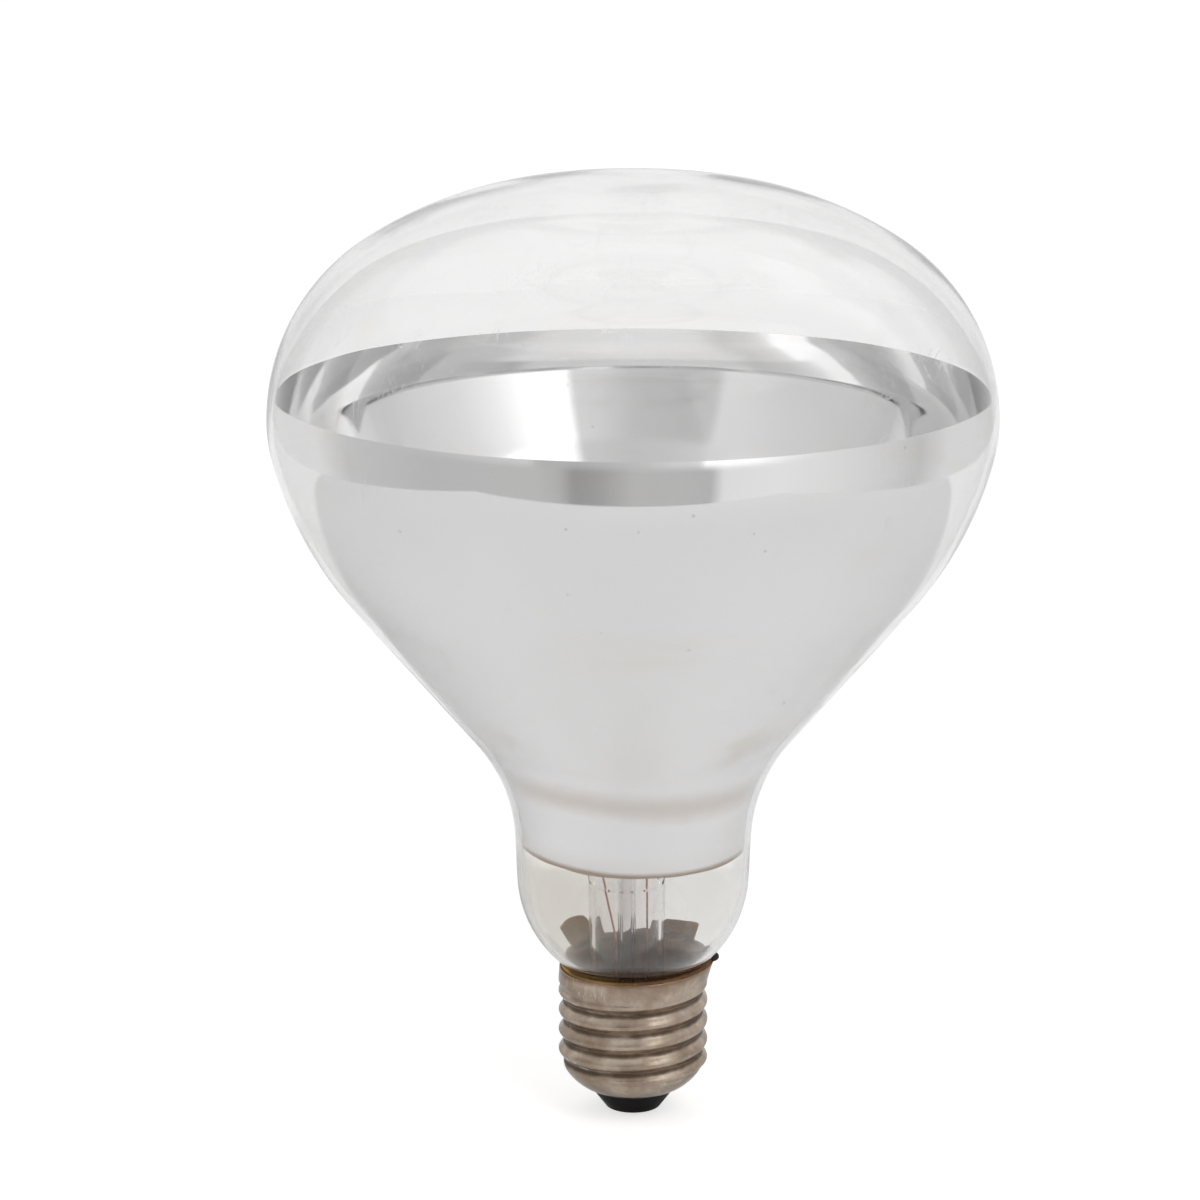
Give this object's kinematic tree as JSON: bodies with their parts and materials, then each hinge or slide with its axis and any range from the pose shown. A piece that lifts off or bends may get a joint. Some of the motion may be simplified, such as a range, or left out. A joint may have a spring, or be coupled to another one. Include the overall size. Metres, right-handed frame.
{
  "type": "infrared heat lamp bulb",
  "caption": "Clear-faced reflector heat lamp: flaring glass bulb silvered inside, sealed filament mount, and a rolled screw cap with a dark insulator and centre contact.",
  "frame": {"origin": "on the lamp's axis at the tip of the centre contact, the lowest point of the lamp", "axes": "+Z along the lamp's axis from the contact to the face, -Y towards the viewer of the picture, +X to its right"},
  "size_m": [0.125, 0.125, 0.1664],
  "materials": {
    "clear_glass": "polished",
    "mirror_film": "polished",
    "support_wire": "drawn wire",
    "tungsten": "matt",
    "lead_wire": "drawn wire",
    "copper_clad_wire": "oxidised",
    "cement": "matt, baked",
    "cap_metal": "tarnished satin",
    "black_glass": "gloss",
    "contact_metal": "worn",
    "solder": "dull",
    "scorched_solder": "scorched"
  },
  "bodies": {
    "root": {"glass_bulb": "clear_glass", "reflector_coating": "mirror_film", "glass_stem": "clear_glass", "exhaust_tube": "clear_glass", "support_rod": "clear_glass", "filament_hook_1": "support_wire", "filament_hook_2": "support_wire", "filament_hook_3": "support_wire", "filament_hook_4": "support_wire", "filament_hook_5": "support_wire", "filament": "tungsten", "inner_lead_left": "lead_wire", "inner_lead_right": "lead_wire", "seal_wire_left": "copper_clad_wire", "seal_wire_right": "copper_clad_wire", "outer_lead_centre": "lead_wire", "outer_lead_side": "lead_wire", "basing_cement": "cement", "cap_shell": "cap_metal", "cap_insulator": "black_glass", "contact_plate": "contact_metal", "contact_solder": "solder", "side_solder": "scorched_solder"}
  },
  "joints": []
}
